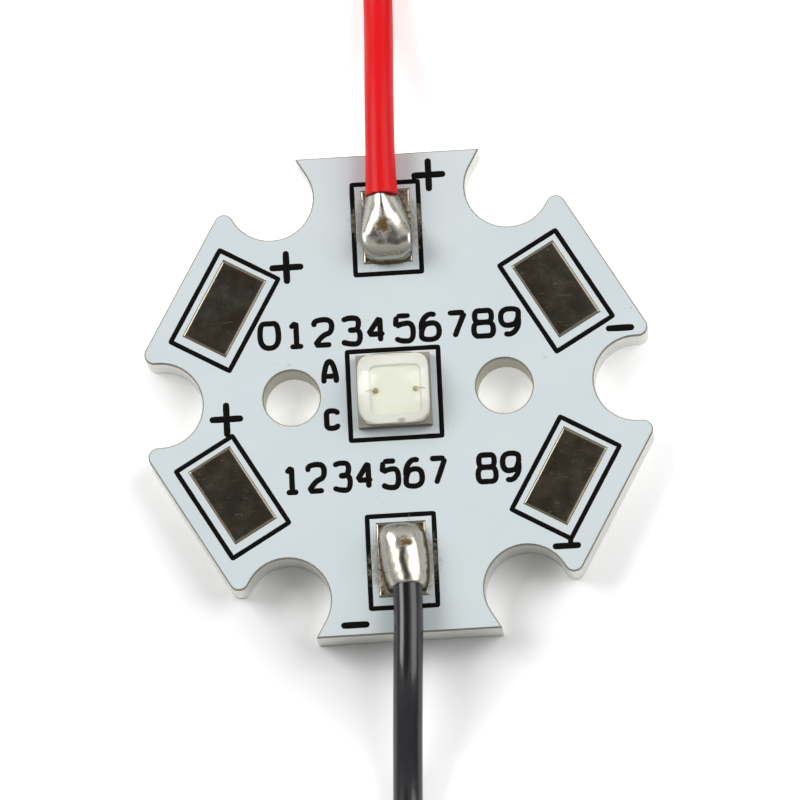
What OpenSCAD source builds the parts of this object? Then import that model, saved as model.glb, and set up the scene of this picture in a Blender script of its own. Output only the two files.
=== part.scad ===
// Hexagonal star board with one power LED and two soldered leads.
// Sizes are in millimetres. The origin is the centre of the board's underside,
// +Z is the side that the LED stands on and +Y points along the red lead.

/* [Board] */
// Width across the flats of the hexagon
across_flats = 20; // [19.5:0.5:23]
// Thickness of the aluminium base
base_t = 1.44; // [1:0.02:2]
// Thickness of the insulating layer on the aluminium
dielectric_t = 0.1; // [0.06:0.02:0.2]
// Thickness of the copper
copper_t = 0.035; // [0.035:0.005:0.07]
// Thickness of the white mask over the copper
mask_over_copper = 0.025; // [0.02:0.005:0.05]
// How far the mask stays back from the board's edge
mask_setback = 0.05; // [0.02:0.01:0.1]
// Width of the six screw notches
notch_d = 3.5; // [3.2:0.1:3.8]
// How far a notch's round end is centred inside the hexagon's corner
notch_inset = 1.85; // [1.6:0.05:2.1]
// Rounding of the corners of the four side tabs
tab_corner_r = 0.4; // [0.2:0.05:0.6]
// Diameter of the two holes beside the LED
hole_d = 2.3; // [2:0.1:2.6]
// Distance between the two holes
hole_spacing = 8.65; // [8.2:0.05:9.2]

/* [Circuit] */
// How far the copper keeps back from edges, notches and holes
copper_setback = 0.4; // [0.3:0.05:0.5]
// Width of the gap between two coppers
copper_gap = 0.25; // [0.2:0.05:0.35]
// Sideways offset of the circuit from the board's middle
circuit_shift = -0.14; // [-0.2:0.02:0.2]
// Short side of every solder pad
pad_w = 2; // [1.8:0.05:2.1]
// Long side of the four side pads
side_pad_l = 3.6; // [3:0.05:3.8]
// Long side of the two end pads
end_pad_l = 3.1; // [2.8:0.05:3.3]
// Distance from a side pad's middle to its flat
side_pad_inset = 2.2; // [2:0.05:2.4]
// Distance from an end pad's middle to its flat
end_pad_inset = 3.05; // [2.8:0.05:3.2]
// Height of a tinned pad over the mask
tin_h = 0.04; // [0.02:0.01:0.06]
// Width of the rounded shoulder along a tinned pad's edge
tin_shoulder = 0.3; // [0.15:0.05:0.4]
// Width of the printed lines
ink_w = 0.2; // [0.16:0.02:0.26]
// Thickness of the printed ink
ink_t = 0.02; // [0.01:0.005:0.02]
// Gap between a pad or the LED and its printed frame
ink_gap = 0.25; // [0.15:0.05:0.3]
// Offset of the print from the circuit, along the board's length
print_shift = -0.08; // [-0.1:0.02:0.1]

/* [LED] */
// Width of the square LED
led_w = 3; // [2.9:0.05:3.2]
// Height of its ceramic body
ceramic_h = 0.35; // [0.25:0.05:0.6]
// Thickness of the solder under the LED
led_solder_t = 0.05; // [0.04:0.01:0.08]
// Thickness of the LED's metal terminals
terminal_t = 0.02; // [0.01:0.01:0.03]
// Length of all three terminals
terminal_l = 2.6; // [2.4:0.05:2.8]
// Width of the narrow anode and cathode terminals
terminal_w = 0.4; // [0.3:0.05:0.45]
// Width of the wide heat terminal
heat_terminal_w = 1.3; // [1:0.05:1.4]
// Width of the border between the LED's edge and a chip in its middle
chip_margin = 0.575; // [0.55:0.005:0.7]
// Offset of the chip from the LED's middle, to the right
chip_x = 0.08; // [-0.1:0.01:0.1]
// Offset of the chip from the LED's middle, to the back
chip_y = -0.08; // [-0.1:0.01:0.1]
// Height of the chip and of the white filling round it
chip_h = 0.1; // [0.08:0.01:0.16]
// Gap between the chip and the filling
filling_gap = 0.02; // [0.01:0.01:0.03]
// How far the filling stays back from the lens's walls
filling_setback = 0.05; // [0.03:0.01:0.06]
// Radius of the lens's dome
dome_r = 3; // [2.7:0.1:4]
// Height of the lens at its four corners
lens_corner_h = 0.08; // [0.04:0.01:0.2]
// Rounding of the upright corners of the lens and of the filling
lens_corner_r = 0.35; // [0.2:0.05:0.5]
// How far the lens stays back from the ceramic's edge
lens_setback = 0.05; // [0.03:0.01:0.1]
// Diameter of the two bond wires
bond_wire_d = 0.04; // [0.03:0.01:0.05]
// Radius of the bond wires' arches
bond_arch_r = 0.2; // [0.16:0.01:0.22]
// Distance from the chip's edge to the middle of a bond wire's ball
bond_ball_inset = 0.155; // [0.13:0.005:0.2]
// Diameter of the ball at a bond wire's chip end
bond_ball_d = 0.22; // [0.14:0.01:0.24]
// Side of the protection diode
diode_w = 0.25; // [0.2:0.05:0.3]
// Height of the protection diode
diode_h = 0.06; // [0.04:0.01:0.07]

/* [Leads] */
// Diameter over a lead's insulation
wire_d = 1.2; // [1:0.1:1.3]
// Diameter of one of the seven strands
strand_d = 0.2; // [0.16:0.02:0.22]
// Height of a soldered lead's middle over the board
lead_over_board = 0.65; // [0.62:0.01:0.8]
// Length of strand soldered to a pad
soldered_l = 1.7; // [1.4:0.1:2]
// Height of the solder over the strands
solder_over = 0.2; // [0.15:0.05:0.3]
// How far the solder stays back from a pad's long edges
solder_setback = 0.05; // [0.03:0.01:0.1]
// How far the solder stays back from a pad's inner edge
solder_inner_setback = 0.25; // [0.1:0.05:0.4]
// Middle radius of a stored coil of lead
coil_r = 6.5; // [6:0.1:7.2]
// Length of the bare tinned tip
tip_l = 5; // [3:0.5:6]
// Width of the tie round a coil
tie_w = 2; // [1:0.5:3]
// Thickness of the tie
tie_t = 0.15; // [0.1:0.05:0.25]

/* [Hidden] */
$fn = 64;

// Levels, from the underside up
z_base = base_t;
z_dielectric = z_base + dielectric_t;
z_copper = z_dielectric + copper_t;
z_mask = z_copper + mask_over_copper;
z_terminals = z_copper + led_solder_t;
z_ceramic = z_terminals + terminal_t;
z_chip = z_ceramic + ceramic_h;
z_lens = z_chip + chip_h;

// The board's outline
apothem = across_flats / 2;
corner_at = apothem / cos(30);
notch_at = corner_at - notch_inset;
side_tab_angles = [30, 150, 210, 330];

// The circuit
led_terminal_at = (heat_terminal_w + terminal_w) / 2 + copper_gap;
island_l = terminal_l + 2 * 0.25;
split_x = island_l / 2 + copper_gap;
z_tin = z_mask + tin_h;
side_pad = [pad_w, side_pad_l];
end_pad = [end_pad_l, pad_w];

// The LED
lens_w = led_w - 2 * lens_setback;
lens_half_diagonal = (lens_w / 2 - lens_corner_r) * sqrt(2) + lens_corner_r;
dome_centre_z = z_lens + lens_corner_h - sqrt(dome_r * dome_r - pow(lens_half_diagonal, 2));
chip_w = led_w - 2 * chip_margin;
filling_w = lens_w - 2 * filling_setback;
bond_ball_at = chip_w / 2 - bond_ball_inset;
bond_pad = [0.14, 0.5];
bond_pad_t = 0.01;
bond_pad_at = bond_ball_at + 2 * bond_arch_r;
bond_ball_h = 0.06;
bond_foot_h = 0.03;
bond_foot_d = 2 * bond_wire_d;
diode_gap = 0.07;
diode_at = [0.25, -chip_w / 2 - diode_gap - diode_w / 2];

// The leads. A point of a route gives how far it lies sideways from its pad's middle and
// outwards from the board's edge, and its height as a share of the height over the board.
bundle_d = 3 * strand_d;
lead_z = z_mask + lead_over_board;
red_points = [
    [-0.11, -1.9, 1], [-0.11, -1.2, 1], [-0.1, -0.4, 1], [-0.08, 0.5, 0.98], [-0.06, 1.4, 0.93],
    [-0.04, 2.3, 0.84], [-0.02, 3.2, 0.71], [0, 4.1, 0.54], [0.02, 5, 0.36], [0.03, 5.9, 0.2],
    [0.04, 6.8, 0.09], [0.04, 7.8, 0.02], [0.04, 9, 0], [0.04, 10.2, 0], [0.04, 11.4, 0],
];
black_points = [
    [-0.19, -1.8, 1], [-0.19, -1.1, 1], [-0.16, -0.3, 1], [-0.12, 0.5, 1], [-0.07, 1.3, 0.99],
    [-0.02, 2.1, 0.93], [0.03, 2.9, 0.81], [0.09, 3.7, 0.63], [0.15, 4.5, 0.42], [0.2, 5.3, 0.24],
    [0.25, 6.1, 0.12], [0.29, 7, 0.04], [0.32, 8, 0], [0.34, 9.1, 0], [0.36, 10.3, 0],
    [0.36, 11.4, 0],
];
route_sides = 8;
strand_squeeze = 1.04;
solder_foot_r = 0.5;
solder_foot_h = 0.15;
solder_gap = 0.05;

// A coil has three turns on the surface and two turns in the grooves between them.
coil_turn_r = [coil_r - wire_d, coil_r, coil_r + wire_d];
coil_upper_r = [coil_r - wire_d / 2, coil_r + wire_d / 2];
coil_layer_h = wire_d * sin(60);
coil_upper_z = wire_d / 2 + coil_layer_h;
coil_last_turn = 160;
coil_entry_l = 4.6;
tip_turn = tip_l / coil_upper_r[1] * 180 / PI;
coil_inner_r = coil_turn_r[0] - wire_d / 2;
tie_clearance = 0.05 + coil_inner_r - sqrt(coil_inner_r * coil_inner_r - tie_w * tie_w / 4);
tie_turn = 100;

// Places

// Turns a shape whose +X points outwards and moves it to a pad's middle.
module at_pad(angle, inset) {
    translate([circuit_shift, 0, 0])
        rotate(angle)
            translate([apothem - inset, 0, 0])
                children();
}

module at_print() {
    translate([0, print_shift, 0])
        children();
}

module at_led(z = 0) {
    translate([circuit_shift, 0, z])
        children();
}

// Moves a shape whose +Y points outwards to where a lead crosses the board's edge.
module at_lead(turn) {
    translate([circuit_shift, 0, 0])
        rotate(turn)
            translate([0, apothem, 0])
                children();
}

// Moves a shape to the middle of the chip.
module at_chip(z) {
    at_led(z)
        translate([chip_x, chip_y, 0])
            children();
}

// Flat shapes

module centred_rect(size) {
    square(size, center = true);
}

// One tab corner, in a frame where the tab's flat faces +X.
module corner_cut(inset, side) {
    r = tab_corner_r - inset;
    x = apothem - inset;
    y = (x * sin(30) - notch_d / 2 - inset) / cos(30);
    centre = [x - r, y - r * tan(60)];
    mirror([0, side < 0 ? 1 : 0])
        difference() {
            polygon([
                centre,
                [x, centre[1]],
                [x + r * sin(30) / 4, y + r * cos(30) / 4],
                centre + r * [-sin(30), cos(30)],
            ]);
            translate(centre)
                circle(r);
        }
}

// The hexagon with its six notches, moved inwards by inset.
module board_outline(inset = 0, rounded = true) {
    difference() {
        circle(corner_at - inset / cos(30), $fn = 6);
        for (angle = [0 : 60 : 300])
            rotate(angle)
                translate([notch_at, 0]) {
                    circle(notch_d / 2 + inset);
                    translate([0, -notch_d / 2 - inset])
                        square([notch_d, notch_d + 2 * inset]);
                }
        if (rounded)
            for (angle = side_tab_angles, side = [-1, 1])
                rotate(angle)
                    corner_cut(inset, side);
    }
}

module holes(clearance = 0) {
    for (side = [-1, 1])
        translate([side * hole_spacing / 2, 0])
            circle(hole_d / 2 + clearance);
}

module pad_openings() {
    for (angle = side_tab_angles)
        at_pad(angle, side_pad_inset)
            centred_rect(side_pad);
    for (angle = [90, 270])
        at_pad(angle, end_pad_inset)
            centred_rect(end_pad);
}

// side is 1 for the anode, -1 for the cathode and 0 for the heat terminal.
module terminal(side) {
    at_led()
        translate([0, side * led_terminal_at])
            centred_rect([terminal_l, side == 0 ? heat_terminal_w : terminal_w]);
}

// Everything on the anode's side of the line between the two coppers.
module anode_side() {
    far = across_flats;
    bend_y = split_x * tan(60);
    polygon([
        [-far, far], [far / tan(60), far], [split_x, bend_y], [split_x, 0],
        [-split_x, 0], [-split_x, -bend_y], [-far / tan(60), -far], [-far, -far],
    ]);
}

// The line between the two coppers, as wide as the gap.
module split_line() {
    far = across_flats;
    bend_y = split_x * tan(60);
    for (turn = [0, 180])
        rotate(turn) {
            translate([split_x - copper_gap / 2, 0])
                square([copper_gap, bend_y]);
            translate([split_x, bend_y])
                rotate(60)
                    translate([-copper_gap / 2, -copper_gap / 2])
                        square([far, copper_gap]);
        }
}

module heat_island(clearance = 0) {
    at_led()
        centred_rect([island_l + 2 * clearance, heat_terminal_w + 0.1 + 2 * clearance]);
}

module supply_copper(side) {
    difference() {
        intersection() {
            board_outline(copper_setback, rounded = false);
            at_led()
                rotate(side > 0 ? 0 : 180)
                    anode_side();
        }
        at_led()
            split_line();
        holes(copper_setback);
        heat_island(copper_gap - 0.05);
    }
}

module frame_line(size) {
    inner = size + 2 * ink_gap * [1, 1];
    difference() {
        centred_rect(inner + 2 * ink_w * [1, 1]);
        centred_rect(inner);
    }
}

// Board

module base_plate() {
    color("silver")
        linear_extrude(base_t)
            difference() {
                board_outline();
                holes();
            }
}

module dielectric_layer() {
    color("darkkhaki")
        translate([0, 0, z_base])
            linear_extrude(dielectric_t)
                difference() {
                    board_outline();
                    holes();
                }
}

module copper_anode() {
    color("orange")
        translate([0, 0, z_dielectric])
            linear_extrude(copper_t)
                supply_copper(1);
}

module copper_cathode() {
    color("darkorange")
        translate([0, 0, z_dielectric])
            linear_extrude(copper_t)
                supply_copper(-1);
}

module copper_heat_spreader() {
    color("chocolate")
        translate([0, 0, z_dielectric])
            linear_extrude(copper_t)
                heat_island();
}

module solder_mask() {
    color("aliceblue")
        difference() {
            translate([0, 0, z_dielectric])
                linear_extrude(copper_t + mask_over_copper)
                    difference() {
                        board_outline(mask_setback);
                        holes(mask_setback);
                        pad_openings();
                        for (side = [-1, 0, 1])
                            terminal(side);
                    }
            copper_anode();
            copper_cathode();
            copper_heat_spreader();
        }
}

// The outline of a tinned pad from one side, with rounded shoulders.
module tin_outline(w) {
    shoulder = [for (a = [0 : 22.5 : 90])
        [w / 2 - tin_shoulder * (1 - cos(a)), z_mask + tin_h * sin(a)]];
    polygon(concat(
        [[w / 2, z_copper]],
        shoulder,
        [for (i = [len(shoulder) - 1 : -1 : 0]) [-shoulder[i][0], shoulder[i][1]]],
        [[-w / 2, z_copper]]
    ));
}

// A pad's coat of solder, which fills the mask's opening and stands a little proud.
module tin_pad(angle, inset, size) {
    color("dimgray")
        at_pad(angle, inset)
            intersection() {
                rotate([90, 0, 0])
                    linear_extrude(size[1], center = true)
                        tin_outline(size[0]);
                rotate([90, 0, 90])
                    linear_extrude(size[0], center = true)
                        tin_outline(size[1]);
            }
}

module tin_pad_top() { tin_pad(90, end_pad_inset, end_pad); }
module tin_pad_bottom() { tin_pad(270, end_pad_inset, end_pad); }
module tin_pad_upper_right() { tin_pad(30, side_pad_inset, side_pad); }
module tin_pad_upper_left() { tin_pad(150, side_pad_inset, side_pad); }
module tin_pad_lower_left() { tin_pad(210, side_pad_inset, side_pad); }
module tin_pad_lower_right() { tin_pad(330, side_pad_inset, side_pad); }

module printed_frames() {
    color("black")
        translate([0, 0, z_mask])
            linear_extrude(ink_t)
                at_print() {
                    for (angle = side_tab_angles)
                        at_pad(angle, side_pad_inset)
                            frame_line(side_pad);
                    for (angle = [90, 270])
                        at_pad(angle, end_pad_inset)
                            frame_line(end_pad);
                    at_led()
                        frame_line([led_w, led_w]);
                }
}

// LED

module led_solder(side) {
    color("gainsboro")
        translate([0, 0, z_copper])
            linear_extrude(led_solder_t)
                terminal(side);
}

module led_solder_anode() { led_solder(1); }
module led_solder_cathode() { led_solder(-1); }
module led_solder_heat() { led_solder(0); }

module led_terminals() {
    color("gold")
        translate([0, 0, z_terminals])
            linear_extrude(terminal_t)
                for (side = [-1, 0, 1])
                    terminal(side);
}

module led_ceramic() {
    color("wheat")
        at_led(z_ceramic)
            linear_extrude(ceramic_h)
                centred_rect([led_w, led_w]);
}

module bond_pad_places() {
    for (side = [-1, 1])
        translate([side * bond_pad_at, 0])
            children();
}

module led_bond_pads() {
    color("gold")
        at_chip(z_chip)
            linear_extrude(bond_pad_t)
                bond_pad_places()
                    centred_rect(bond_pad);
}

module led_chip() {
    color("beige")
        at_chip(z_chip)
            linear_extrude(chip_h)
                centred_rect([chip_w, chip_w]);
}

module led_protection_diode() {
    color("gray")
        at_chip(z_chip)
            translate(diode_at)
                linear_extrude(diode_h)
                    centred_rect([diode_w, diode_w]);
}

// White silicone, cast round the chip and over the bond pads and the diode.
module led_white_filling() {
    color("white")
        difference() {
            at_led(z_chip)
                linear_extrude(chip_h)
                    rounded_square(filling_w, lens_corner_r);
            at_chip(z_chip)
                linear_extrude(chip_h)
                    centred_rect((chip_w + 2 * filling_gap) * [1, 1]);
            led_bond_pads();
            led_protection_diode();
            bond_wire_right();
            bond_wire_left();
        }
}

// A ball on the chip, an arch, a straight leg and a flattened foot on the bond pad.
module bond_wire_shape() {
    arch_z = z_lens + bond_ball_h;
    foot_z = z_chip + bond_pad_t;
    translate([bond_ball_at, 0, z_lens])
        cylinder(h = bond_ball_h, d = bond_ball_d);
    translate([bond_ball_at + bond_arch_r, 0, arch_z])
        rotate([90, 0, 0])
            rotate_extrude(angle = 180)
                translate([bond_arch_r, 0])
                    circle(d = bond_wire_d, $fn = 24);
    translate([bond_pad_at, 0, foot_z]) {
        cylinder(h = arch_z - foot_z, d = bond_wire_d, $fn = 24);
        cylinder(h = bond_foot_h, d = bond_foot_d, $fn = 24);
    }
}

module bond_wire_right() {
    color("goldenrod")
        at_chip(0)
            bond_wire_shape();
}

module bond_wire_left() {
    color("goldenrod")
        at_chip(0)
            rotate(180)
                bond_wire_shape();
}

// A square-cut dome of clear silicone, cast round the bond wires.
module led_lens() {
    color("lightcyan", 0.5)
        difference() {
            at_led()
                intersection() {
                    translate([0, 0, z_lens])
                        linear_extrude(dome_r)
                            rounded_square(lens_w, lens_corner_r);
                    translate([0, 0, dome_centre_z])
                        sphere(dome_r, $fn = 128);
                }
            bond_wire_right();
            bond_wire_left();
        }
}

module rounded_square(w, r) {
    centred_rect([w, w - 2 * r]);
    centred_rect([w - 2 * r, w]);
    for (x = [-1, 1], y = [-1, 1])
        translate([x, y] * (w / 2 - r))
            circle(r, $fn = 24);
}

// Solder joints of the leads

function route(points) = [for (p = points) [p[0], p[1], wire_d / 2 + p[2] * (lead_z - wire_d / 2)]];

// Seven strands, from the insulation's end inwards over the pad.
module soldered_strands(points) {
    translate(route(points)[0])
        rotate([90, 0, 0]) {
            cylinder(h = soldered_l, d = strand_d, $fn = 16);
            for (angle = [0 : 60 : 300])
                rotate(angle)
                    translate([strand_d, 0, 0])
                        cylinder(h = soldered_l, d = strand_d * strand_squeeze, $fn = 16);
        }
}

// A full, rounded heap of solder, highest where it holds the strands.
module solder_heap(points) {
    start = route(points)[0];
    top_r = bundle_d / 2 + solder_over;
    foot_x = pad_w / 2 - solder_setback - solder_foot_r;
    outer_y = start[1] - solder_gap;
    inner_y = -end_pad_inset - end_pad_l / 2 + solder_inner_setback;
    hull() {
        for (x = [-foot_x, foot_x], y = [inner_y + solder_foot_r, outer_y - solder_foot_r])
            translate([x, y, z_mask])
                cylinder(h = solder_foot_h, r = solder_foot_r, $fn = 28);
        translate([start[0], outer_y - top_r, lead_z])
            sphere(top_r, $fn = 28);
        translate([0, inner_y + 2 * top_r, lead_z])
            sphere(top_r, $fn = 28);
    }
}

module solder_joint_red() {
    color("lightgray")
        difference() {
            at_lead(0)
                solder_heap(red_points);
            tin_pad_top();
            strands_red();
        }
}

module solder_joint_black() {
    color("lightgray")
        difference() {
            at_lead(180)
                solder_heap(black_points);
            tin_pad_bottom();
            strands_black();
        }
}

module strands_red() {
    color("lightsteelblue")
        at_lead(0)
            soldered_strands(red_points);
}

module strands_black() {
    color("lightsteelblue")
        at_lead(180)
            soldered_strands(black_points);
}

// Leads

function unit(v) = v / norm(v);

function heading(path, i) =
    i == 0 ? unit(path[1] - path[0]) :
    i == len(path) - 1 ? unit(path[i] - path[i - 1]) :
    unit(unit(path[i + 1] - path[i]) + unit(path[i] - path[i - 1]));

function ring(path, i) =
    let (t = heading(path, i), up = unit(cross([1, 0, 0], t)), side = cross(t, up))
    [for (k = [0 : route_sides - 1])
        let (a = (k + 0.5) * 360 / route_sides)
        path[i] + wire_d / 2 * (up * cos(a) + side * sin(a))];

module tube(path) {
    rings = len(path);
    corners = [for (i = [0 : rings - 1]) each ring(path, i)];
    walls = [for (i = [0 : rings - 2], k = [0 : route_sides - 1])
        let (a = i * route_sides + k, b = i * route_sides + (k + 1) % route_sides)
        [a, b, b + route_sides, a + route_sides]];
    first = [for (k = [route_sides - 1 : -1 : 0]) k];
    last = [for (k = [0 : route_sides - 1]) (rings - 1) * route_sides + k];
    polyhedron(corners, concat(walls, [first, last]));
}

module red_lead() {
    color("red")
        at_lead(0)
            tube(route(red_points));
}

module black_lead() {
    color([0.15, 0.15, 0.16])
        at_lead(180)
            tube(route(black_points));
}

// Moves a shape to a lead's coil. There the lead comes in along +Y and touches the
// outer turn at the origin, and the coil lies on the +X side, or mirrored on the other.
module at_coil(points, turn, mirrored) {
    last = points[len(points) - 1];
    at_lead(turn)
        translate([last[0], last[1] + coil_entry_l, 0])
            mirror([mirrored ? 1 : 0, 0, 0])
                children();
}

module from_coil_middle() {
    translate([coil_turn_r[2], 0, 0])
        children();
}

// Part of a turn of the coil or of its bare end.
module turn_piece(d, r, z, start, angle) {
    translate([0, 0, z])
        rotate(start)
            rotate_extrude(angle = angle)
                translate([r, 0])
                    circle(d / 2, $fn = 24);
}

// The bare end follows the coil's last turn.
module tip_shape() {
    from_coil_middle()
        turn_piece(bundle_d, coil_upper_r[1], coil_upper_z, 180 - coil_last_turn - tip_turn, tip_turn);
}

// The three turns on the surface as one solid band.
module floor_turns() {
    rotate_extrude() {
        for (r = [coil_turn_r[0], coil_turn_r[2]])
            translate([r, wire_d / 2])
                circle(wire_d / 2, $fn = 24);
        translate([coil_turn_r[0], 0])
            square([coil_turn_r[2] - coil_turn_r[0], wire_d]);
    }
}

module tie_shape() {
    inner_w = 3 * wire_d + 2 * tie_clearance;
    inner_h = wire_d + coil_layer_h + tie_clearance - tie_t;
    from_coil_middle()
        rotate(180 - tie_turn)
            translate([coil_r, tie_w / 2, 0])
                rotate([90, 0, 0])
                    linear_extrude(tie_w)
                        difference() {
                            translate([-inner_w / 2 - tie_t, 0])
                                square([inner_w + 2 * tie_t, inner_h + 2 * tie_t]);
                            translate([-inner_w / 2, tie_t])
                                square([inner_w, inner_h]);
                        }
}

module coil_shape() {
    difference() {
        union() {
            from_coil_middle() {
                floor_turns();
                turn_piece(wire_d, coil_upper_r[0], coil_upper_z, 0, 360);
                turn_piece(wire_d, coil_upper_r[1], coil_upper_z, 180 - coil_last_turn, coil_last_turn);
            }
            translate([0, -coil_entry_l, wire_d / 2])
                rotate([-90, 0, 0])
                    cylinder(h = coil_entry_l, d = wire_d - 0.04, $fn = 24);
        }
        tie_shape();
    }
}

module red_lead_coil() {
    color("red")
        at_coil(red_points, 0, false)
            coil_shape();
}

module black_lead_coil() {
    color([0.15, 0.15, 0.16])
        at_coil(black_points, 180, true)
            coil_shape();
}

module red_coil_tie() {
    color("white")
        at_coil(red_points, 0, false)
            tie_shape();
}

module black_coil_tie() {
    color("white")
        at_coil(black_points, 180, true)
            tie_shape();
}

module red_lead_tip() {
    color("lightsteelblue")
        at_coil(red_points, 0, false)
            tip_shape();
}

module black_lead_tip() {
    color("lightsteelblue")
        at_coil(black_points, 180, true)
            tip_shape();
}

base_plate();
dielectric_layer();
copper_anode();
copper_cathode();
copper_heat_spreader();
solder_mask();
tin_pad_top();
tin_pad_upper_left();
tin_pad_lower_left();
tin_pad_bottom();
tin_pad_lower_right();
tin_pad_upper_right();
printed_frames();
led_solder_anode();
led_solder_cathode();
led_solder_heat();
led_terminals();
led_ceramic();
led_bond_pads();
led_chip();
led_white_filling();
led_protection_diode();
bond_wire_left();
bond_wire_right();
led_lens();
solder_joint_red();
solder_joint_black();
strands_red();
strands_black();
red_lead();
black_lead();
red_lead_coil();
black_lead_coil();
red_coil_tie();
black_coil_tie();
red_lead_tip();
black_lead_tip();
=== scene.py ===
# %% [markdown]
# A star board LED module, dressed for a studio picture.
#
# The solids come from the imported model: an aluminium star board with its copper,
# solder mask and print, one power LED, two solder joints and two leads. This script
# keeps the hard parts, gives every surface its finish, and models what is softer or
# finer than the solids: the leads, the solder, the tinned pads, the lens, the
# strokes of ink and the flux.

# %% Load the frame
import math

import bmesh
import bpy
from mathutils import Matrix, Vector, noise


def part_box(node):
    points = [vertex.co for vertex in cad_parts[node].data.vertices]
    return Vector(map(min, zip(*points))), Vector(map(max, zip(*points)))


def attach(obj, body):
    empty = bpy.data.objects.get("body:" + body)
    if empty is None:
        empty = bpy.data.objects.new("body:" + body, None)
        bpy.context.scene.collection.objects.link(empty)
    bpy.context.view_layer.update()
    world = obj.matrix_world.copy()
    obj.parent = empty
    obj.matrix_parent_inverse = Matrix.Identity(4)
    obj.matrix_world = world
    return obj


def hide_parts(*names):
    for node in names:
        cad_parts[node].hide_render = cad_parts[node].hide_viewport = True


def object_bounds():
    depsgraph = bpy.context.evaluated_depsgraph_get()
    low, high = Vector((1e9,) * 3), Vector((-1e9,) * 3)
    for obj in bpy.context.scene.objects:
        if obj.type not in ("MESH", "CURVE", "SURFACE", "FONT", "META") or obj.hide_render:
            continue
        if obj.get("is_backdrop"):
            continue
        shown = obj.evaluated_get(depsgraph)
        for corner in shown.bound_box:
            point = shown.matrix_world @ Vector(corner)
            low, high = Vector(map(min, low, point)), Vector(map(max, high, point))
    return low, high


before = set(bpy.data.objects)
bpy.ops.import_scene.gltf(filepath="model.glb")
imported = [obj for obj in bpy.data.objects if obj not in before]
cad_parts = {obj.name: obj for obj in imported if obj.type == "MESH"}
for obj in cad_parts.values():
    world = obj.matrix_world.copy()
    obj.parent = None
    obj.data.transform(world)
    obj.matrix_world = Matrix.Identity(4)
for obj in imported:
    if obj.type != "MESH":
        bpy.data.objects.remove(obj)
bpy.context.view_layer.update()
scene = bpy.context.scene
scene.view_settings.view_transform = "Standard"

# %% [markdown]
# Everything on this board is a few millimetres long, while Blender counts in
# metres. One constant keeps the sizes readable: 3 * MM is three millimetres. The
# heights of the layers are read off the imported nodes, so the dressing stays on the
# board if a thickness changes.

# %% Sizes taken from the frame
MM = 0.001


def node_top(name):
    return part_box(name)[1][2]


board_low, board_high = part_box("base_plate")
across_flats = board_high[1] - board_low[1]
mask_top = node_top("solder_mask")
floor_z = board_low[2]
led_low, led_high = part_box("led_ceramic")
circuit_x = (led_low[0] + led_high[0]) / 2
print("across flats", round(across_flats / MM, 2), "mm, mask top at", round(mask_top / MM, 3), "mm")

# %% [markdown]
# The photographer stood nearly above the board, a little to the front and to the
# right, with a long lens. A long lens flattens perspective: the tabs at the back
# look as wide as those at the front. The camera turns first about X, which tips its
# view down the board, and then a little about Y and Z.

# %% Camera
camera_data = bpy.data.cameras.new("camera")
camera_data.sensor_width = 36
camera_data.lens = 400.8
camera_data.clip_start = 0.01
camera_data.clip_end = 10
camera = bpy.data.objects.new("camera", camera_data)
scene.collection.objects.link(camera)
camera.location = Vector((17.45, -85.64, 351.93)) * MM
camera.rotation_euler = [math.radians(a) for a in (13.52, 3.48, -2.65)]
scene.camera = camera
print("camera is", round(camera.location.length, 3), "m away")

# %% [markdown]
# Hook-up wire of this kind has seven tinned strands in a PVC sleeve 1.2 mm thick.
# It is springy: it leaves the solder level, crosses the board's edge and sinks to
# the table over a centimetre. The length that the photograph doesn't show is wound
# into a small coil on the table, outside the picture.
#
# The route's points are the solids' own. They give how far each lies sideways from
# its pad's middle and outwards from the board's edge, in millimetres, and its
# height as a share of the height over the board.

# %% Routes of the leads
LEAD_D = 1.2 * MM
LEAD_LIFT = 0.65 * MM
red_points = [
    (-0.11, -1.9, 1), (-0.11, -1.2, 1), (-0.1, -0.4, 1), (-0.08, 0.5, 0.98), (-0.06, 1.4, 0.93),
    (-0.04, 2.3, 0.84), (-0.02, 3.2, 0.71), (0, 4.1, 0.54), (0.02, 5, 0.36), (0.03, 5.9, 0.2),
    (0.04, 6.8, 0.09), (0.04, 7.8, 0.02), (0.04, 9, 0), (0.04, 10.2, 0), (0.04, 11.4, 0),
]
black_points = [
    (-0.19, -1.8, 1), (-0.19, -1.1, 1), (-0.16, -0.3, 1), (-0.12, 0.5, 1), (-0.07, 1.3, 0.99),
    (-0.02, 2.1, 0.93), (0.03, 2.9, 0.81), (0.09, 3.7, 0.63), (0.15, 4.5, 0.42), (0.2, 5.3, 0.24),
    (0.25, 6.1, 0.12), (0.29, 7, 0.04), (0.32, 8, 0), (0.34, 9.1, 0), (0.36, 10.3, 0),
    (0.36, 11.4, 0),
]


def route(points):
    low, high = floor_z + LEAD_D / 2, mask_top + LEAD_LIFT
    return [Vector((x * MM, y * MM, low + share * (high - low))) for x, y, share in points]


def lead_frame(turn):
    """Turns +Y outwards and moves the origin to where a lead crosses the board's edge."""
    outwards = Matrix.Rotation(turn, 4, "Z")
    return Matrix.Translation((circuit_x, 0, 0)) @ outwards @ Matrix.Translation((0, across_flats / 2, 0))


print("route points:", len(red_points), "red,", len(black_points), "black")

# %% [markdown]
# A coil of wire isn't a spring. Each turn lies on the table or in the groove
# between two turns below it, and steps sideways once per turn to reach the next
# place. So the radius is a circle's with four short steps, and the height comes
# from a rule that anyone who has coiled a cable knows: a turn rests on whatever is
# already under it.

# %% Coil of the stored length
COIL_R = 6.5 * MM
ENTRY_L = 4.6 * MM
STEP_ANGLE = 10
TURN = 360
LAST_ANGLE = 4 * TURN + 160


def ease(angle, start, width=120):
    t = min(max((angle - start) / width, 0), 1)
    return t * t * (3 - 2 * t)


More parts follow.
